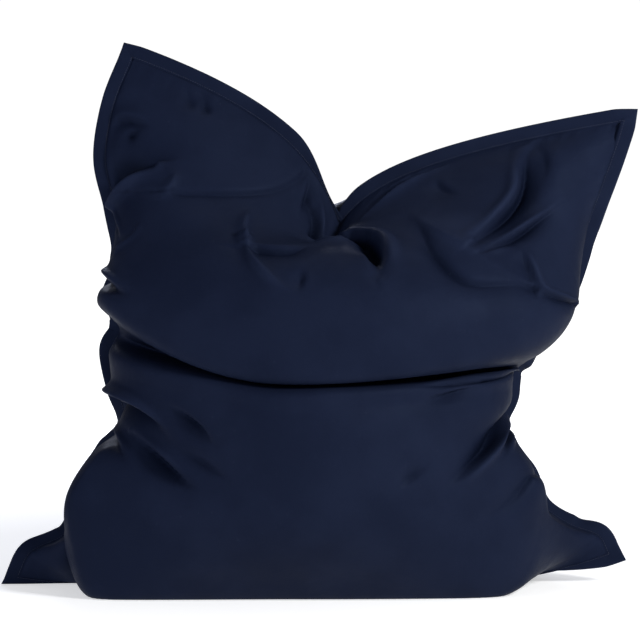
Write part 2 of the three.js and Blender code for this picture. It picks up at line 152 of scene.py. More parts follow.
# Creases: width of the valley, how many times wider the gentle slope to the right of the line
# is, the depth, the crest to its left, shares of the depth left at the ends, and the line as
# four points, each with its share of the width (u) and of the height (v)
CREASES = """
side  width  soft  depth  crest  start  end  u1    v1    u2    v2    u3    v3    u4    v4
-1    6      9.6   13     0.0    0.7    0.6  0.090 0.834 0.204 0.861 0.297 0.903 0.363 0.990
-1    8      6.1   46     0.45   0.3    1.0  0.116 0.884 0.084 0.869 0.044 0.840 0.000 0.805
-1    9      2.2   -12    0.0    0.0    0.3  0.130 0.884 0.168 0.879 0.162 0.851 0.090 0.833
-1    6      4.8   16     0.3    0.6    0.0  0.000 0.904 0.016 0.917 0.056 0.926 0.090 0.928
-1    6      3.2   12     0.2    0.0    0.0  0.034 0.903 0.046 0.909 0.056 0.912 0.068 0.917
-1    5      4.8   14     0.2    0.2    0.2  0.383 0.936 0.379 0.955 0.377 0.973 0.373 0.990
-1    10     1.6   -11    0.0    0.2    0.2  0.403 0.990 0.415 0.978 0.427 0.960 0.439 0.926
-1    8      2.2   -12    0.0    0.0    1.0  0.315 0.884 0.313 0.851 0.313 0.818 0.323 0.787
-1    8      2.2   -18    0.0    1.0    0.0  0.323 0.787 0.339 0.750 0.381 0.709 0.433 0.679
-1    6      8.0   22     0.1    1.0    0.1  0.347 0.768 0.371 0.770 0.401 0.776 0.431 0.789
-1    6      4.0   10     0.2    0.0    0.0  0.425 0.728 0.431 0.712 0.433 0.696 0.431 0.682
-1    9      2.0   46     0.35   0.4    0.2  0.520 0.838 0.490 0.852 0.460 0.868 0.425 0.925
-1    5      6.0   -15    0.0    0.2    0.2  0.431 0.811 0.460 0.815 0.490 0.813 0.523 0.798
-1    10     3.0   38     0.1    0.3    0.3  0.402 0.958 0.422 0.946 0.444 0.925 0.466 0.885
-1    12     2.9   60     0.3    0.3    0.1  0.505 0.870 0.530 0.826 0.547 0.776 0.551 0.718
-1    8      3.2   -11    0.0    0.2    0.0  0.519 0.789 0.527 0.759 0.535 0.736 0.541 0.712
-1    9      1.6   36     0.0    0.0    0.0  0.430 0.945 0.440 0.912 0.450 0.880 0.458 0.848
-1    9      5.4   46     0.35   0.3    0.15 0.719 0.789 0.768 0.826 0.816 0.872 0.844 0.973
-1    7      4.8   27     0.45   0.2    0.1  0.731 0.767 0.774 0.784 0.834 0.814 0.896 0.844
-1    6      2.2   -8     0.0    0.1    0.0  0.715 0.754 0.741 0.764 0.768 0.773 0.794 0.779
-1    24     4.8   -15    0.0    0.2    0.0  0.762 0.726 0.707 0.765 0.653 0.811 0.619 0.900
-1    10     3.5   20     0.0    0.1    0.3  0.621 0.853 0.645 0.761 0.687 0.710 0.782 0.704
-1    6      5.4   15     0.5    0.1    0.6  0.794 0.773 0.800 0.745 0.804 0.723 0.808 0.698
-1    5      5.4   20     0.3    0.5    0.8  0.806 0.701 0.824 0.689 0.852 0.678 0.904 0.662
-1    8      2.6   -15    0.0    0.2    0.1  0.555 0.933 0.613 0.956 0.663 0.976 0.715 0.990
-1    7      3.5   15     0.2    0.1    0.1  0.570 0.968 0.610 0.980 0.650 0.986 0.700 0.990
-1    7      4.8   8      0.2    0.0    0.0  0.685 0.958 0.689 0.931 0.699 0.912 0.713 0.894
-1    12     4.8   10     0.2    0.2    0.0  0.850 0.990 0.870 0.947 0.870 0.911 0.852 0.883
-1    5      4.4   26     0.35   0.0    0.8  0.669 0.446 0.743 0.449 0.820 0.452 0.952 0.455
-1    6      3.8   15     0.2    0.0    0.0  0.681 0.416 0.719 0.419 0.764 0.426 0.820 0.434
-1    7      5.2   46     0.4    0.9    0.0  1.000 0.365 0.900 0.340 0.800 0.310 0.697 0.286
-1    6      4.4   27     0.35   0.9    0.0  1.000 0.335 0.930 0.322 0.870 0.308 0.820 0.285
-1    8      4.2   12     0.0    0.0    0.0  0.707 0.322 0.677 0.315 0.651 0.308 0.625 0.305
-1    12     3.2   13     0.0    0.3    0.0  0.950 0.215 0.880 0.222 0.806 0.231 0.729 0.246
-1    8      5.2   54     0.5    1.0    0.0  0.000 0.372 0.100 0.376 0.190 0.372 0.269 0.346
-1    6      6.0   30     0.3    0.2    0.0  0.170 0.336 0.224 0.326 0.295 0.308 0.341 0.296
-1    8      5.2   13     0.0    0.0    0.0  0.259 0.340 0.305 0.336 0.345 0.327 0.387 0.310
-1    6      5.6   22     0.1    0.0    0.0  0.246 0.396 0.287 0.385 0.319 0.371 0.345 0.352
-1    6      4.2   19     0.4    0.8    0.0  0.010 0.330 0.100 0.318 0.170 0.306 0.212 0.292
-1    14     2.2   30     0.0    0.0    0.6  0.060 0.158 0.075 0.110 0.100 0.060 0.140 0.010
-1    6      3.5   14     0.5    1.0    0.0  0.000 0.800 0.018 0.784 0.050 0.761 0.072 0.739
-1    6      3.5   16     0.5    0.3    0.0  0.106 0.765 0.094 0.745 0.076 0.728 0.070 0.700
-1    8      3.5   32     0.4    1.0    0.0  0.000 0.668 0.080 0.664 0.130 0.653 0.176 0.645
-1    9      2.6   10     0.0    0.6    0.0  0.108 0.990 0.118 0.982 0.130 0.974 0.140 0.964
-1    7      2.6   14     0.0    0.6    0.0  0.142 0.990 0.150 0.983 0.158 0.977 0.168 0.970
1     12     6.4   17     0.4    1.0    0.0  0.000 0.402 0.070 0.398 0.150 0.380 0.230 0.345
1     12     6.4   17     0.4    1.0    0.0  1.000 0.375 0.930 0.366 0.850 0.340 0.770 0.310
1     20     3.2   10     0.0    0.0    0.0  0.150 0.340 0.210 0.322 0.270 0.310 0.340 0.300
1     18     3.2   10     0.0    0.0    0.0  0.870 0.320 0.810 0.305 0.750 0.295 0.700 0.290
1     14     9.6   18     0.3    0.0    1.0  0.330 0.900 0.240 0.830 0.120 0.765 0.000 0.740
1     13     4.8   15     0.4    1.0    0.0  0.000 0.650 0.060 0.650 0.120 0.662 0.180 0.680
1     16     5.4   24     0.4    0.0    0.2  0.860 0.930 0.820 0.870 0.770 0.820 0.700 0.790
1     14     9.6   18     0.2    0.0    1.0  0.610 0.880 0.700 0.785 0.850 0.712 1.000 0.680
1     12     4.8   13     0.4    1.0    0.0  1.000 0.600 0.940 0.602 0.880 0.612 0.820 0.625
1     18     3.2   22     0.3    0.0    0.0  0.420 0.930 0.405 0.880 0.395 0.835 0.385 0.790
1     20     1.6   20     0.0    0.0    0.0  0.480 0.900 0.490 0.860 0.500 0.820 0.510 0.770
1     20     1.6   18     0.0    0.0    0.6  0.050 0.150 0.065 0.100 0.085 0.050 0.120 0.010
1     20     1.6   16     0.0    0.0    0.6  0.950 0.150 0.935 0.100 0.915 0.050 0.880 0.010
"""
# Creases fade out over this many millimetres beside the seams
CREASE_FADE = 30
CREASE_STEPS = 32
# Sharpness of a valley's floor, share of the gentle slope on its right, and the place and the
# width of the crest, both in widths of the valley
CREASE_EDGE = 1.2
SLOPE_SHARE = 0.6
CREST_PLACE = 2.3
CREST_WIDTH = 1.9


def read_table(text):
    """Columns of a table by the names in its heading."""
    lines = [line.split() for line in text.strip().splitlines()]
    values = np.array(lines[1:], dtype=float)
    return {name: values[:, i] for i, name in enumerate(lines[0])}


def smooth(x):
    """Eases from 0 to 1 as x does."""
    x = np.clip(x, 0, 1)
    return x * x * (3 - 2 * x)


def unit(vectors):
    """The vectors' directions."""
    return vectors / np.maximum(np.linalg.norm(vectors, axis=-1, keepdims=True), 1e-9)


def run_along(line):
    """Length of a line of points up to each of them."""
    return np.concatenate([[0], np.cumsum(np.linalg.norm(np.diff(line, axis=0), axis=1))])


def cubic(knots, values, where):
    """Smooth curve through values at the knots, read at where."""
    steps = np.diff(knots)
    rise = np.diff(values) / steps
    slopes = np.concatenate([
        rise[:1],
        (rise[:-1] * steps[1:] + rise[1:] * steps[:-1]) / (steps[1:] + steps[:-1]),
        rise[-1:],
    ])
    i = np.clip(np.searchsorted(knots, where, side="right") - 1, 0, len(knots) - 2)
    span = steps[i]
    s = (where - knots[i]) / span
    s2, s3 = s * s, s * s * s
    return ((2 * s3 - 3 * s2 + 1) * values[i] + (s3 - 2 * s2 + s) * span * slopes[i]
            + (3 * s2 - 2 * s3) * values[i + 1] + (s3 - s2) * span * slopes[i + 1])


def at_heights(table, heights):
    """Each column of a table as a column vector over the heights."""
    return {name: cubic(table["v"], column, heights)[:, None] for name, column in table.items()}


def rise_share(distance, reach, dip, power):
    """Share of the rise from the notch (0) to a side seam (1), rounded over the dip."""
    rounded = np.hypot(distance, dip) - dip
    return np.clip(rounded / (np.hypot(reach, dip) - dip), 0, 1) ** power


def panel_points(side, shares, heights):
    """Smooth points of one panel, spaced evenly along each row of the cloth."""
    seam = at_heights(read_table(SEAMS), heights)
    cut = at_heights(read_table(FRONT if side < 0 else BACK), heights)
    t = np.linspace(0, 1, ROW_SAMPLES + 1)[None, :]
    angle = math.pi * t
    half = (seam["rightX"] - seam["leftX"]) / 2
    x = (seam["leftX"] + seam["rightX"]) / 2 - half * np.cos(angle)
    x = x - cut["bulge"] * np.sin(2 * angle)
    depth = (cut["centre"]
             + (cut["left"] - cut["centre"]) * smooth((0.5 - t) / SHOULDER_SHARE)
             + (cut["right"] - cut["centre"]) * smooth((t - 0.5) / SHOULDER_SHARE))
    out = depth * np.clip(np.sin(angle), 0, 1) ** cut["corner"]
    from_notch = (x - seam["leftX"]) / (2 * half) - NOTCH_SHARE
    left = rise_share(from_notch, NOTCH_SHARE, cut["dip"], cut["leftRise"])
    right = rise_share(from_notch, 1 - NOTCH_SHARE, cut["dip"], cut["rightRise"])
    z = cut["midZ"] + np.where(
        from_notch < 0,
        (seam["leftZ"] - cut["midZ"]) * left,
        (seam["rightZ"] - cut["midZ"]) * right,
    )
    y = seam["leftY"] + (seam["rightY"] - seam["leftY"]) * t + side * out
    points = np.stack([x, y, z], axis=2)
    result = np.empty((len(heights), len(shares), 3))
    for row, line in enumerate(points):
        run = run_along(line)
        for axis in range(3):
            result[row, :, axis] = np.interp(shares * run[-1], run, line[:, axis])
    return result


def outward(grid, side):
    """Outward directions of a grid of panel points."""
    return unit(np.cross(np.gradient(grid, axis=1), np.gradient(grid, axis=0)) * -side)


def crease_lift(side, shares, heights):
    """How far the creases move the cloth outwards, over a grid of one panel."""
    x, y = np.meshgrid(shares * PANEL_WIDTH, heights * PANEL_HEIGHT)
    lift = np.zeros_like(x)
    table = read_table(CREASES)
    for n in range(len(table["side"])):
        crease = {name: column[n] for name, column in table.items()}
        if crease["side"] != side:
            continue
        knots_x = np.array([crease[f"u{k}"] for k in range(1, 5)]) * PANEL_WIDTH
        knots_y = np.array([crease[f"v{k}"] for k in range(1, 5)]) * PANEL_HEIGHT
        run = np.concatenate([[0], np.cumsum(np.hypot(np.diff(knots_x), np.diff(knots_y)))])
        steps = np.linspace(0, run[-1], CREASE_STEPS + 1)
        line_x, line_y = cubic(run, knots_x, steps), cubic(run, knots_y, steps)
        best = np.full(x.shape, np.inf)
        across = np.zeros_like(x)
        along = np.zeros_like(x)
        for i in range(CREASE_STEPS):
            dx, dy = line_x[i + 1] - line_x[i], line_y[i + 1] - line_y[i]
            t = ((x - line_x[i]) * dx + (y - line_y[i]) * dy) / (dx * dx + dy * dy)
            t = np.clip(t, 0, 1)
            ex, ey = x - line_x[i] - t * dx, y - line_y[i] - t * dy
            distance = np.hypot(ex, ey)
            nearer = distance < best
            best[nearer] = distance[nearer]
            signed = np.where(dx * ey - dy * ex < 0, -distance, distance)
            across[nearer] = signed[nearer]
            along[nearer] = ((i + t) / CREASE_STEPS)[nearer]
        start, end = crease["start"], crease["end"]
        share = np.where(along < 0.5, start + (1 - start) * smooth(2 * along),
                         end + (1 - end) * smooth(2 - 2 * along))
        place = across / crease["width"]
        valley = np.exp(-np.abs(place) ** CREASE_EDGE)
        slope = np.exp(-(place / crease["soft"]) ** 2)
        valley = np.where(place < 0, valley + SLOPE_SHARE * (slope - valley), valley)
        crest = np.exp(-((place - CREST_PLACE) / CREST_WIDTH) ** 2)
        lift += share * crease["depth"] * (crease["crest"] * crest - valley)
    fade = (smooth(np.minimum(x, PANEL_WIDTH - x) / CREASE_FADE)
            * smooth(np.minimum(y, PANEL_HEIGHT - y) / CREASE_FADE))
    return lift * fade


# Puckers that run in from the seam: how far they reach and how deep they are
PUCKER_REACH = 62
PUCKER_DEPTH = 3.0
PUCKER_WAVES = ((46, 1.0), (71, 0.9), (29, 0.5), (113, 0.6))
PUCKER_RISE = 16
PUCKER_LEAST_REACH = 14
PUCKER_REACH_WAVES = ((190, 1.0),)
# Each wave's strength and place change over this many of its own lengths
STRENGTH_BEAT = 7.3
PLACE_BEAT = 4.1
PLACE_SHIFT = 2.2


def wander(place, waves, seed):
    """Uneven wave along a seam, from waves of set length and strength."""
    chance = np.random.default_rng(seed)
    total = np.zeros_like(place)
    for length, strength in waves:
        bend = chance.uniform(0, 2 * math.pi, 3)
        slow = 0.55 + 0.45 * np.sin(2 * math.pi * place / (length * STRENGTH_BEAT) + bend[0])
        drift = PLACE_SHIFT * np.sin(2 * math.pi * place / (length * PLACE_BEAT) + bend[1])
        total += strength * slow * np.sin(2 * math.pi * place / length + drift + bend[2])
    return total / sum(strength for _, strength in waves)


def pucker_lift(side, shares, heights):
    """Small gathers beside the four seams of a panel, in millimetres outwards."""
    x, y = np.meshgrid(shares * PANEL_WIDTH, heights * PANEL_HEIGHT)
    edges = (
        (x, y, 11), (PANEL_WIDTH - x, y, 23), (PANEL_HEIGHT - y, x, 37), (y, x, 53),
    )
    lift = np.zeros_like(x)
    for inward, along, seed in edges:
        gather = wander(along, PUCKER_WAVES, seed + (0 if side < 0 else 1))
        reach = PUCKER_REACH * (0.7 + 0.5 * wander(along, PUCKER_REACH_WAVES, seed + 5))
        reach = np.maximum(reach, PUCKER_LEAST_REACH)
        rise = smooth(inward / PUCKER_RISE) * np.exp(-(inward / reach) ** 2)
        lift += PUCKER_DEPTH * gather * rise
    return lift


def in_frame(points):
    """Table millimetres to frame metres."""
    return (points - np.array([ORIGIN_X, ORIGIN_Y, 0])) * MM


def panel_surface(side):
    """One panel in the frame, as it is cut and creased before it is filled."""
    shares = np.linspace(0, 1, CELLS_ACROSS + 1)
    heights = np.linspace(0, 1, CELLS_UP + 1)
    grid = panel_points(side, shares, heights)
    lift = crease_lift(side, shares, heights) + pucker_lift(side, shares, heights)
    lift[[0, -1]] = 0
    lift[:, [0, -1]] = 0
    grid = grid + outward(grid, side) * lift[..., None]
    return {"side": side, "at": in_frame(grid), "fold": lift,
            "hold": holding(shares, heights, lift)}


# Where the cloth is held while it is filled. Reaches from the seam and crease depths are in
# millimetres, places up the panel and the lengths of the changes are shares of its height.
SEAM_HOLD_REACH = 18
BASE_HOLD_TOP = 0.12
BASE_HOLD_FADE = 0.12
GUTTER_HEIGHT = 0.485
GUTTER_HALF = 0.03
GUTTER_FADE = 0.10
GUTTER_HOLD = 0.95
CREASE_HOLD = 0.5
CREASE_HELD_DEPTH = 9
BELLY_HOLD = 0.04
CORNER_HOLD = 0.5
CORNER_HOLD_FROM = 0.62
CORNER_HOLD_FADE = 0.2


def holding(shares, heights, lift):
    """How firmly the cloth is held while it is filled, from 0 to 1."""
    u, v = np.meshgrid(shares, heights)
    from_seam = np.minimum(np.minimum(u, 1 - u) * PANEL_WIDTH, (1 - v) * PANEL_HEIGHT)
    seam = 1 - smooth(from_seam / SEAM_HOLD_REACH)
    base = 1 - smooth((v - BASE_HOLD_TOP) / BASE_HOLD_FADE)
    from_gutter = np.abs(v - GUTTER_HEIGHT) - GUTTER_HALF
    gutter = GUTTER_HOLD * (1 - smooth(from_gutter / GUTTER_FADE))
    crease = CREASE_HOLD * smooth(np.abs(lift) / CREASE_HELD_DEPTH)
    corners = BELLY_HOLD + CORNER_HOLD * smooth((v - CORNER_HOLD_FROM) / CORNER_HOLD_FADE)
    return np.maximum.reduce([seam, base, gutter, crease, corners])


def thinned(panel, step):
    """A panel with only every step-th line of its grid."""
    return {name: value if name == "side" else value[::step, ::step]
            for name, value in panel.items()}


def moved_onto(points, places):
    """Moves each point onto its nearest place and returns the places that are left over."""
    tree = KDTree(len(places))
    for index, place in enumerate(places):
        tree.insert(place, index)
    tree.balance()
    left = dict(enumerate(places))
    for point in points:
        point.co, index, _ = tree.find(point.co)
        left.pop(index, None)
    return list(left.values())


def match_rims(bm, number, fine_count):
    """Halves the rim edges of the coarser panel so that each meets a point of the finer rim."""
    rim = [vert for vert in bm.verts if vert.is_boundary]
    between = moved_onto([vert for vert in rim if vert[number] >= fine_count],
                         [vert.co.copy() for vert in rim if vert[number] < fine_count])
    coarse = [edge for edge in bm.edges
              if edge.is_boundary and edge.verts[0][number] >= fine_count]
    made = bmesh.ops.subdivide_edges(bm, edges=coarse, cuts=1)["geom_inner"]
    moved_onto([item for item in made if isinstance(item, bmesh.types.BMVert)], between)


def flat_grid(bm, columns, rows):
    """Adds a flat grid and gives each of its verts with its column and row."""
    made = bmesh.ops.create_grid(bm, x_segments=columns - 1, y_segments=rows - 1, size=1)
    return [(vert, round((vert.co.x + 1) / 2 * (columns - 1)),
             round((vert.co.y + 1) / 2 * (rows - 1))) for vert in made["verts"]]


def sewn(panels):
    """Panels joined round their seam, with the flat cloth as UVs."""
    bm = bmesh.new()
    uv = bm.loops.layers.uv.new("cloth")
    fold = bm.verts.layers.float.new("fold")
    hold = bm.verts.layers.float.new("hold")
    number = bm.verts.layers.int.new("number")
    for order, panel in enumerate(panels):
        rows, columns = panel["fold"].shape
        flat = {}
        for vert, column, row in flat_grid(bm, columns, rows):
            flat[vert] = ((column / (columns - 1) + PANEL_PITCH * order) * PANEL_WIDTH * MM,
                          row / (rows - 1) * PANEL_HEIGHT * MM)
            vert.co = panel["at"][row, column]
            vert[fold] = panel["fold"][row, column]
            vert[hold] = panel["hold"][row, column]
            vert[number] = row * columns + column + order * panels[0]["fold"].size
        faces = {face for vert in flat for face in vert.link_faces}
        for face in faces:
            for loop in face.loops:
                loop[uv].uv = flat[loop.vert]
        if panel["side"] > 0:
            bmesh.ops.reverse_faces(bm, faces=list(faces))
    if len(panels[0]["fold"]) > len(panels[1]["fold"]):
        match_rims(bm, number, panels[0]["fold"].size)
    seam = [vert for vert in bm.verts if vert.is_boundary]
    bmesh.ops.remove_doubles(bm, verts=seam, dist=SEAM_GAP)
    bmesh.ops.recalc_face_normals(bm, faces=bm.faces)
    return bm


def add_piece(name, bm, *materials):
    """A smooth object made of the mesh, which is used up."""
    mesh = bpy.data.meshes.new(name)
    bm.to_mesh(mesh)
    bm.free()
    mesh.polygons.foreach_set("use_smooth", np.ones(len(mesh.polygons), dtype=bool))
    piece = bpy.data.objects.new(name, mesh)
    bpy.context.scene.collection.objects.link(piece)
    for material in materials:
        mesh.materials.append(material)
    return piece


# Filling: frames the cloth is let out for, and how far any place may move
FILL_FRAMES = 20
FILL_REACH = 0.012
FILL_PRESSURE = 4.0


def filling(panels):
    """Lets the sewn panels swell by cloth simulation, and tells how far each place moved."""
    scene = bpy.context.scene
    piece = add_piece("filled_cover", sewn(panels))
    mesh = piece.data
    count = len(mesh.vertices)
    before = np.empty(count * 3)
    held = np.empty(count)
    number = np.empty(count, dtype=np.int32)
    mesh.vertices.foreach_get("co", before)
    mesh.attributes["hold"].data.foreach_get("value", held)
    mesh.attributes["number"].data.foreach_get("value", number)
    pins = piece.vertex_groups.new(name="held")
    ease = piece.vertex_groups.new(name="ease")
    for index in range(count):
        pins.add([index], float(held[index]), "REPLACE")
        ease.add([index], 1.0, "REPLACE")
    cloth = piece.modifiers.new("filling", "CLOTH")
    settings = cloth.settings
    settings.quality = 6
    settings.mass = 0.35
    settings.tension_stiffness = 30
    settings.compression_stiffness = 12
    settings.shear_stiffness = 8
    settings.bending_stiffness = 1.2
    settings.tension_damping = 20
    settings.compression_damping = 20
    settings.air_damping = 4
    settings.use_pressure = True
    settings.uniform_pressure_force = FILL_PRESSURE
    settings.vertex_group_mass = "held"
    settings.pin_stiffness = 1.0
    settings.vertex_group_shrink = "ease"
    settings.shrink_min = 0.0
    settings.shrink_max = -0.015
    settings.effector_weights.gravity = 0
    cloth.collision_settings.use_collision = False
    cloth.collision_settings.use_self_collision = False
    cloth.point_cache.frame_start = 1
    cloth.point_cache.frame_end = FILL_FRAMES
    for frame_number in range(1, FILL_FRAMES + 1):
        scene.frame_set(frame_number)
    settled = piece.evaluated_get(bpy.context.evaluated_depsgraph_get())
    after = np.empty(count * 3)
    settled.data.vertices.foreach_get("co", after)
    scene.frame_set(1)
    bpy.data.objects.remove(piece)
    bpy.data.meshes.remove(mesh)
    move = (after - before).reshape(-1, 3)
    length = np.linalg.norm(move, axis=1, keepdims=True)
    move *= FILL_REACH * np.tanh(length / FILL_REACH) / np.maximum(length, 1e-9)
    move *= (1 - held ** 2)[:, None]
    rows, columns = panels[0]["fold"].shape
    field = np.zeros((len(panels) * rows * columns, 3))
    field[number] = move
    return field.reshape(len(panels), rows, columns, 3)


def refined(field, step):
    """A grid of values read smoothly on a grid that is step times as fine."""
    for axis in (0, 1):
        field = np.moveaxis(field, axis, 0)
        knots = np.arange(len(field), dtype=float)
        where = np.arange((len(field) - 1) * step + 1) / step
        flat = field.reshape(len(field), -1)
        flat = np.stack([cubic(knots, column, where) for column in flat.T], axis=1)
        field = np.moveaxis(flat.reshape(len(where), *field.shape[1:]), 0, axis)
    return field


FLOOR_CLEAR = 0.0004


def rest_on_floor(piece):
    """Lifts what lies lower than the floor allows."""
    mesh = piece.data
    at = np.empty(len(mesh.vertices) * 3)
    mesh.vertices.foreach_get("co", at)
    at = at.reshape(-1, 3)
    at[:, 2] = np.maximum(at[:, 2], FLOOR_CLEAR)
    mesh.vertices.foreach_set("co", at.ravel())
    mesh.update()


# Hem: its points across, from the seam on the front sheet round the edge to the back sheet.
# out is the share of the width and lift the share of half the thickness.
HEM_SECTION = """
out    lift
-0.30  0.00
0.00   -0.55
0.10   -0.60
0.30   -0.85
0.55   -1.00
0.80   -1.00
0.94   -0.80
1.00   0.00
0.94   0.80
0.80   1.00
0.55   1.00
0.30   0.85
0.10   0.60
0.00   0.55
-0.30  0.00
"""
HEM_CELLS_ACROSS = 300
HEM_CELLS_UP = 380
HEM_WAVE = 2.6
HEM_WAVES = ((150, 1.0), (83, 0.7), (47, 0.35))
HEM_WAVE_SEED = 71
# Cells on each side of a corner over which the hem turns
HEM_CORNER_CELLS = 4


def seam_ring(steps_across, steps_up):
    """Places round the seam, anticlockwise from the front, with the edge each belongs to."""
    under = [(c / steps_across, 0.0, "under") for c in range(steps_across)]
    right = [(1.0, r / steps_up, "right") for r in range(steps_up)]
    top = [(c / steps_across, 1.0, "top") for c in range(steps_across, 0, -1)]
    left = [(0.0, r / steps_up, "left") for r in range(steps_up, 0, -1)]
    return under + right + top + left


def square(vectors, tangent):
    """Directions of the vectors' parts that are square to the tangent."""
    return unit(vectors - (vectors * tangent).sum(axis=1, keepdims=True) * tangent)


def hem_frame():
    """Seam points, the way out, the way through and the width of the hem round the seam."""
    across, up = HEM_CELLS_ACROSS, HEM_CELLS_UP
    ring = seam_ring(across, up)
    heights = np.linspace(0, 1, up + 1)
    shares = np.linspace(0, 1, across + 1)
    sides = panel_points(-1, np.array([0.0, 1.0]), heights)
    ends = panel_points(-1, shares, np.array([0.0, 1.0]))
    turns = at_heights(read_table(SEAMS), heights)
    seam, lean, width = [], [], []
    for u, v, edge in ring:
        row, column = round(v * up), round(u * across)
        if edge == "under":
            seam.append(ends[0, column])
            lean.append((0, -0.3, -1))
            width.append(max(HEM_WIDTH * (1 - min(u, 1 - u) / HEM_UNDER_SHARE),
                             HEM_UNDER_WIDTH))
        elif edge == "top":
            seam.append(ends[1, column])
            lean.append((0, 0, 1))
            open_part = smooth(abs(u - NOTCH_SHARE) / HEM_NOTCH_REACH)
            width.append(HEM_WIDTH * (HEM_NOTCH_PART + (1 - HEM_NOTCH_PART) * open_part))
        elif edge == "right":
            seam.append(sides[row, 1])
            lean.append((1, float(turns["rightTurn"][row, 0]), 0))
            width.append(HEM_WIDTH)
        else:
            seam.append(sides[row, 0])
            lean.append((-1, float(turns["leftTurn"][row, 0]), 0))
            width.append(HEM_WIDTH)
    seam, lean = np.array(seam), np.array(lean, dtype=float)
    width = np.array(width)[:, None]
    came = seam - np.roll(seam, 1, axis=0)
    goes = np.roll(seam, -1, axis=0) - seam
    tangent = unit(unit(came) + unit(goes))
    way = square(lean, tangent)
    corners = [0, across, across + up, 2 * across + up]
    for k in corners:
        first = square(np.roll(lean, 1, axis=0), unit(came))[k]
        second = square(lean, unit(goes))[k]
        both = first + second
        reach = min(math.sqrt(2 / (1 + first @ second)), HEM_CORNER_REACH)
        way[k] = both / np.linalg.norm(both) * reach
    for k in corners:
        corner_way = way[k].copy()
        for offset in range(1 - HEM_CORNER_CELLS, HEM_CORNER_CELLS):
            share = (1 - abs(offset) / HEM_CORNER_CELLS) ** 2
            n = (k + offset) % len(way)
            way[n] = way[n] * (1 - share) + corner_way * share
    through = unit(np.cross(tangent, way))
    run = np.concatenate([[0], np.cumsum(np.linalg.norm(goes, axis=1))[:-1]])
    return seam, way, through, width, run


def hem_points(out, lift, frame_of_hem):
    """Points round the hem at one share of its width and of half its thickness."""
    seam, way, through, width, run = frame_of_hem
    wave = wander(run, HEM_WAVES, HEM_WAVE_SEED)[:, None] * HEM_WAVE
    wave = wave * out * np.minimum(width / HEM_WIDTH, 1)
    return seam + way * width * out + through * (lift * HEM_THICKNESS / 2 + wave)


def sewn_hem(frame_of_hem):
    """The two turned sheets outside the seam, as one closed ring."""
    section = read_table(HEM_SECTION)
    count = len(frame_of_hem[0])
    rows = [in_frame(hem_points(out, lift, frame_of_hem))
            for out, lift in zip(section["out"], section["lift"])]
    run = frame_of_hem[4] * MM
    across = np.concatenate([[0], np.cumsum(np.hypot(
        np.diff(section["out"]) * HEM_WIDTH, np.diff(section["lift"]) * HEM_THICKNESS / 2))]) * MM
    bm = bmesh.new()
    uv = bm.loops.layers.uv.new("cloth")
    edge_layer = bm.verts.layers.float.new("edge")
    flat = {}
    for vert, column, row in flat_grid(bm, count + 1, len(rows)):
        length = run[column] if column < count else run[-1] + (run[-1] - run[-2])
        flat[vert] = (length, across[row])
        vert.co = rows[row][column % count]
        vert[edge_layer] = section["out"][row]
    for face in bm.faces:
        for loop in face.loops:
            loop[uv].uv = flat[loop.vert]
    bmesh.ops.remove_doubles(bm, verts=bm.verts, dist=HEM_GAP)
    bmesh.ops.recalc_face_normals(bm, faces=bm.faces)
    return bm


# Topstitches on both faces of the hem, close to the bulging cloth. Each stitch is a row of
# rings: at is the share of its length, girth and height are shares of the thread's radius.
STITCH_LENGTH = 4.2
STITCH_GAP = 1.3
STITCH_RADIUS = 0.42
STITCH_PLACE = 0.07
STITCH_LIFT = 0.62
STITCH_CLEAR_OF_FLOOR = 0.004
STITCH_SIDES = 6
STITCH_RINGS = """
at    girth  height
0.00  0.00   -0.6
0.14  0.85   0.2
0.50  1.00   0.7
0.86  0.85   0.2
1.00  0.00   -0.6
"""


def topstitching(frame_of_hem, face):
    """A row of short stitches on one face of the hem (-1 front, 1 back)."""
    line = in_frame(hem_points(STITCH_PLACE, face * STITCH_LIFT, frame_of_hem))
    loop = np.vstack([line, line[:1]])
    run = run_along(loop)

    def along(values, where):
        values = np.vstack([values, values[:1]])
        return np.stack([np.interp(where, run, values[:, k]) for k in range(3)], axis=-1)

    pitch = (STITCH_LENGTH + STITCH_GAP) * MM
    starts = np.arange(0, run[-1] - pitch, pitch)
    starts = starts[along(line, starts)[:, 2] > STITCH_CLEAR_OF_FLOOR]
    rings = read_table(STITCH_RINGS)
    places = (starts[:, None] + rings["at"] * STITCH_LENGTH * MM).ravel()
    girth = np.tile(rings["girth"], len(starts))[:, None, None] * STITCH_RADIUS * MM
    height = np.tile(rings["height"], len(starts))[:, None] * STITCH_RADIUS * MM
    up = along(frame_of_hem[2] * face, places)
    side = along(frame_of_hem[1], places)
    turn = 2 * math.pi * np.arange(STITCH_SIDES + 1) / STITCH_SIDES
    centre = along(line, places) + up * height
    at = (centre[:, None] + (side[:, None] * np.cos(turn)[None, :, None]
                             + up[:, None] * np.sin(turn)[None, :, None]) * girth)
    bm = bmesh.new()
    ring_of = {}
    for vert, ring, spoke in flat_grid(bm, len(places), STITCH_SIDES + 1):
        ring_of[vert] = ring
        vert.co = at[ring, spoke]
    per_stitch = len(rings["at"])
    gaps = [face for face in bm.faces
            if len({ring_of[vert] // per_stitch for vert in face.verts}) > 1]
    bmesh.ops.delete(bm, geom=gaps, context="FACES")
    bmesh.ops.remove_doubles(bm, verts=bm.verts, dist=THREAD_GAP)
    bmesh.ops.recalc_face_normals(bm, faces=bm.faces)
    return bm


# Materials


def new_material(name):
    """A node material with its nodes, its links and its main shader."""
    material = bpy.data.materials.new(name)
    material.use_nodes = True
    nodes = material.node_tree.nodes
    return material, nodes, material.node_tree.links, nodes["Principled BSDF"]


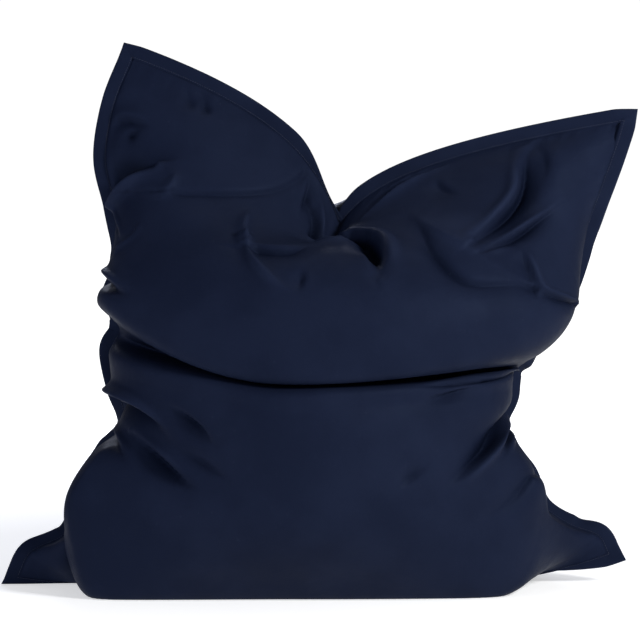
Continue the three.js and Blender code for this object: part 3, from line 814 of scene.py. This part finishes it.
def coated_weave_group():
    """Fine plain weave under a coating, with mottling, ripples and dust."""
    group = bpy.data.node_groups.new("coated_weave", "ShaderNodeTree")
    face = group.interface
    face.new_socket("Cloth", in_out="INPUT", socket_type="NodeSocketVector")
    face.new_socket("Place", in_out="INPUT", socket_type="NodeSocketVector")
    face.new_socket("Threads per metre", in_out="INPUT", socket_type="NodeSocketFloat")
    for output in ("Weave", "Mottle", "Ripple", "Dust"):
        face.new_socket(output, in_out="OUTPUT", socket_type="NodeSocketFloat")
    nodes, links = group.nodes, group.links
    start = nodes.new("NodeGroupInput")
    end = nodes.new("NodeGroupOutput")

    def math_node(operation, *values):
        node = nodes.new("ShaderNodeMath")
        node.operation = operation
        for socket, value in zip(node.inputs, values):
            if isinstance(value, (int, float)):
                socket.default_value = value
            else:
                links.new(value, socket)
        return node.outputs[0]

    def noise(vector, scale, detail, roughness):
        node = nodes.new("ShaderNodeTexNoise")
        node.inputs["Scale"].default_value = scale
        node.inputs["Detail"].default_value = detail
        node.inputs["Roughness"].default_value = roughness
        links.new(vector, node.inputs["Vector"])
        return node.outputs["Fac"]

    split = nodes.new("ShaderNodeSeparateXYZ")
    links.new(start.outputs["Cloth"], split.inputs[0])
    turns = math_node("MULTIPLY", start.outputs["Threads per metre"], math.pi)
    warp = math_node("SINE", math_node("MULTIPLY", split.outputs["X"], turns))
    weft = math_node("SINE", math_node("MULTIPLY", split.outputs["Y"], turns))
    over = math_node("MULTIPLY", warp, weft)
    threads = math_node("MAXIMUM", math_node("ABSOLUTE", warp), math_node("ABSOLUTE", weft))
    links.new(math_node("ADD", math_node("MULTIPLY", over, 0.5), threads), end.inputs["Weave"])
    links.new(noise(start.outputs["Place"], 7, 4, 0.55), end.inputs["Mottle"])
    links.new(noise(start.outputs["Place"], 26, 5, 0.6), end.inputs["Ripple"])
    links.new(noise(start.outputs["Place"], 90, 6, 0.7), end.inputs["Dust"])
    return group


NAVY = (0.0073, 0.0107, 0.0260)
# Lighter tone: random mottle, wear at the hem's edge, and a painted highlight (partly wear) on the
# crease crests
NAVY_WORN_AND_HIGHLIGHT = (0.0124, 0.0179, 0.0410)
# Painted shade for the crease valleys
NAVY_CREASE_SHADE = (0.0031, 0.0050, 0.0138)
DUST = (0.075, 0.10, 0.15)
SHEEN_TINT = (0.45, 0.62, 1.0, 1)
THREADS_PER_METRE = 1400


def cloth_material(name, weave, hem=False):
    """Navy coated cloth with painted shade in the crease valleys, a painted highlight that is
    partly wear on the crests that stand out, and wear at the hem's edge.
    """
    material, nodes, links, shader = new_material(name)
    place = nodes.new("ShaderNodeTexCoord").outputs["Object"]
    cloth = nodes.new("ShaderNodeUVMap")
    cloth.uv_map = "cloth"
    pattern = nodes.new("ShaderNodeGroup")
    pattern.node_tree = weave
    pattern.inputs["Threads per metre"].default_value = THREADS_PER_METRE
    links.new(cloth.outputs["UV"], pattern.inputs["Cloth"])
    links.new(place, pattern.inputs["Place"])

    def ramp(value, low, high, from_value, to_value):
        node = nodes.new("ShaderNodeMapRange")
        node.interpolation_type = "SMOOTHSTEP"
        links.new(value, node.inputs["Value"])
        for socket, number in zip(("From Min", "From Max", "To Min", "To Max"),
                                  (low, high, from_value, to_value)):
            node.inputs[socket].default_value = number
        return node.outputs["Result"]

    def mix(factor, first, second):
        node = nodes.new("ShaderNodeMix")
        node.data_type = "RGBA"
        links.new(factor, node.inputs["Factor"])
        for socket, colour in ((node.inputs[6], first), (node.inputs[7], second)):
            if isinstance(colour, tuple):
                socket.default_value = (*colour, 1)
            else:
                links.new(colour, socket)
        return node.outputs[2]

    def attribute(named):
        node = nodes.new("ShaderNodeAttribute")
        node.attribute_name = named
        return node.outputs["Fac"]

    colour = mix(ramp(pattern.outputs["Mottle"], 0.35, 0.68, 0, 0.35), NAVY, NAVY_WORN_AND_HIGHLIGHT)
    if hem:
        rub = ramp(attribute("edge"), 0.90, 1.0, 0.0, 0.55)
        colour = mix(rub, colour, NAVY_WORN_AND_HIGHLIGHT)
    else:
        # Painted shade: the crease valleys, where the fold lift is negative, are darkened towards
        # the deepest navy
        colour = mix(ramp(attribute("fold"), -22, -1.5, 0.80, 0.0), colour, NAVY_CREASE_SHADE)
        # Painted highlight, partly wear: the crests, where the fold lift is positive, are
        # lightened towards the lighter navy
        colour = mix(ramp(attribute("fold"), 1.5, 9, 0.0, 0.6), colour, NAVY_WORN_AND_HIGHLIGHT)
    colour = mix(ramp(pattern.outputs["Dust"], 0.60, 0.80, 0, 0.10), colour, DUST)
    links.new(colour, shader.inputs["Base Color"])
    links.new(ramp(pattern.outputs["Ripple"], 0.3, 0.7, 0.43, 0.55), shader.inputs["Roughness"])
    shader.inputs["Specular IOR Level"].default_value = 0.03
    shader.inputs["Specular Tint"].default_value = SHEEN_TINT

    def raised(height, strength, distance):
        node = nodes.new("ShaderNodeBump")
        node.inputs["Strength"].default_value = strength
        node.inputs["Distance"].default_value = distance
        links.new(pattern.outputs[height], node.inputs["Height"])
        return node

    threads = raised("Weave", 0.22, 0.00025)
    ripple = raised("Ripple", 0.55, 0.0022)
    links.new(threads.outputs["Normal"], ripple.inputs["Normal"])
    links.new(ripple.outputs["Normal"], shader.inputs["Normal"])
    return material


def two_tones(nodes, links, place, scale, dark, light):
    """Colour that wanders between two tones."""
    grain = nodes.new("ShaderNodeTexNoise")
    grain.inputs["Scale"].default_value = scale
    links.new(place, grain.inputs["Vector"])
    tones = nodes.new("ShaderNodeMix")
    tones.data_type = "RGBA"
    tones.inputs[6].default_value = (*dark, 1)
    tones.inputs[7].default_value = (*light, 1)
    links.new(grain.outputs["Fac"], tones.inputs["Factor"])
    return tones.outputs[2]


THREAD_DARK = (0.010, 0.015, 0.036)
THREAD_LIGHT = (0.020, 0.027, 0.060)


def thread_material():
    """Navy sewing thread, a little lighter than the cloth."""
    material, nodes, links, shader = new_material("sewing_thread")
    place = nodes.new("ShaderNodeTexCoord").outputs["Object"]
    tones = two_tones(nodes, links, place, 900, THREAD_DARK, THREAD_LIGHT)
    links.new(tones, shader.inputs["Base Color"])
    shader.inputs["Roughness"].default_value = 0.45
    return material


# The floor glows a little, and more for the camera from the first distance to the second, in m
FLOOR_GREY = (0.90, 0.90, 0.90)
FLOOR_WHITE = (0.93, 0.93, 0.93)
FLOOR_GLOW = 0.50
FLOOR_GLOW_FAR = 0.7
FLOOR_FADE_FROM = 1.0
FLOOR_FADE_TO = 3.0


def floor_material():
    """Pale floor that fades to plain white away from the bag, as the camera sees it."""
    material, nodes, links, shader = new_material("pale_floor")
    place = nodes.new("ShaderNodeTexCoord").outputs["Object"]
    tones = two_tones(nodes, links, place, 1.2, FLOOR_GREY, FLOOR_WHITE)
    links.new(tones, shader.inputs["Base Color"])
    shader.inputs["Roughness"].default_value = 0.8
    shader.inputs["Specular IOR Level"].default_value = 0.1
    shader.inputs["Emission Color"].default_value = (1, 1, 1, 1)
    distance = nodes.new("ShaderNodeVectorMath")
    distance.operation = "LENGTH"
    links.new(place, distance.inputs[0])
    fade = nodes.new("ShaderNodeMapRange")
    fade.inputs["From Min"].default_value = FLOOR_FADE_FROM
    fade.inputs["From Max"].default_value = FLOOR_FADE_TO
    fade.inputs["To Max"].default_value = FLOOR_GLOW_FAR
    links.new(distance.outputs["Value"], fade.inputs["Value"])
    glow = nodes.new("ShaderNodeMath")
    glow.operation = "MULTIPLY_ADD"
    links.new(nodes.new("ShaderNodeLightPath").outputs["Is Camera Ray"], glow.inputs[0])
    links.new(fade.outputs["Result"], glow.inputs[1])
    glow.inputs[2].default_value = FLOOR_GLOW
    links.new(glow.outputs["Value"], shader.inputs["Emission Strength"])
    return material


# Pieces

weave = coated_weave_group()
cover_cloth = cloth_material("navy_cover_cloth", weave)
hem_cloth = cloth_material("navy_hem_cloth", weave, hem=True)
thread = thread_material()

panels = [panel_surface(-1), panel_surface(1)]
moved = filling([thinned(panel, COARSE_STEP) for panel in panels])
for panel, field in zip(panels, moved):
    panel["at"] = panel["at"] + refined(field, COARSE_STEP)
front, back = panels
cover = add_piece("bag_cover", sewn([front, thinned(back, COARSE_STEP)]), cover_cloth)
rest_on_floor(cover)

hem_line = hem_frame()
hem = add_piece("bag_hem", sewn_hem(hem_line), hem_cloth)
rest_on_floor(hem)

stitches = [
    add_piece("hem_stitches_front", topstitching(hem_line, -1), thread),
    add_piece("hem_stitches_back", topstitching(hem_line, 1), thread),
]

for piece in (cover, hem, *stitches):
    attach(piece, "root")
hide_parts("bean_bag")

# Floor, light and camera

FLOOR_HALF_WIDTH = 30
FLOOR_HEIGHT = -0.0005
floor_bm = bmesh.new()
bmesh.ops.create_grid(floor_bm, x_segments=8, y_segments=8, size=FLOOR_HALF_WIDTH)
for vert in floor_bm.verts:
    vert.co.z = FLOOR_HEIGHT
floor = add_piece("studio_floor", floor_bm, floor_material())

# Soft even light from all round. The camera itself sees a plain white backdrop.
SKY_STRENGTH = 0.155
BACKDROP_STRENGTH = 1.05
world = bpy.data.worlds.new("studio")
bpy.context.scene.world = world
world.use_nodes = True
sky_nodes = world.node_tree.nodes
sky_links = world.node_tree.links
soft_sky = sky_nodes["Background"]
soft_sky.inputs["Color"].default_value = (1, 1, 1, 1)
soft_sky.inputs["Strength"].default_value = SKY_STRENGTH
backdrop = sky_nodes.new("ShaderNodeBackground")
backdrop.inputs["Color"].default_value = (1, 1, 1, 1)
backdrop.inputs["Strength"].default_value = BACKDROP_STRENGTH
seen = sky_nodes.new("ShaderNodeMixShader")
sky_links.new(sky_nodes.new("ShaderNodeLightPath").outputs["Is Camera Ray"], seen.inputs["Fac"])
sky_links.new(soft_sky.outputs["Background"], seen.inputs[1])
sky_links.new(backdrop.outputs["Background"], seen.inputs[2])
sky_links.new(seen.outputs["Shader"], sky_nodes["World Output"].inputs["Surface"])
bpy.context.scene.view_settings.view_transform = "Standard"

# Area lights, all aimed at the middle of the bag
WHITE = (1.0, 1.0, 1.0)
COOL = (0.74, 0.80, 1.0)
LIGHT_AIM = Vector((0, 0, 0.6))
LIGHTS = (
    dict(name="key_right", at=(2.6, -2.3, 2.1), size=(0.8, 0.8), watts=112, colour=WHITE),
    dict(name="front", at=(-0.4, -4.2, 0.7), size=(2.4, 1.0), watts=10, colour=WHITE),
    dict(name="left", at=(-3.2, -1.8, 1.5), size=(1.0, 1.0), watts=30, colour=COOL),
    dict(name="back", at=(-0.6, 3.8, 2.2), size=(1.8, 1.4), watts=48, colour=COOL),
    dict(name="top", at=(0.3, 0.2, 3.2), size=(2.0, 1.2), watts=9, colour=WHITE),
)
for lamp in LIGHTS:
    data = bpy.data.lights.new(lamp["name"], "AREA")
    data.shape = "RECTANGLE"
    data.size, data.size_y = lamp["size"]
    data.energy = lamp["watts"]
    data.color = lamp["colour"]
    light = bpy.data.objects.new(lamp["name"], data)
    light.location = lamp["at"]
    towards = LIGHT_AIM - Vector(lamp["at"])
    light.rotation_euler = towards.to_track_quat("-Z", "Y").to_euler()
    bpy.context.scene.collection.objects.link(light)

# Camera: 5 m away and 3.5 degrees above level, one photo pixel to 2.08 mm at the seam
CAMERA_DISTANCE = 5.0
CAMERA_RISE = math.radians(3.5)
PIXEL = 0.00208
PHOTO_SIZE = 640
FLOOR_ROW = 587
SENSOR = 36
aim_height = (FLOOR_ROW - PHOTO_SIZE / 2) * PIXEL / math.cos(CAMERA_RISE)
aim = Vector((-ORIGIN_X * MM, -ORIGIN_Y * MM, aim_height))
camera_data = bpy.data.cameras.new("photo_view")
camera_data.sensor_width = SENSOR
camera_data.lens = SENSOR * CAMERA_DISTANCE / PIXEL / PHOTO_SIZE
camera = bpy.data.objects.new("photo_view", camera_data)
backwards = Vector((0, -math.cos(CAMERA_RISE), math.sin(CAMERA_RISE)))
camera.location = aim + backwards * CAMERA_DISTANCE
camera.rotation_euler = (aim - camera.location).to_track_quat("-Z", "Y").to_euler()
bpy.context.scene.collection.objects.link(camera)
bpy.context.scene.camera = camera
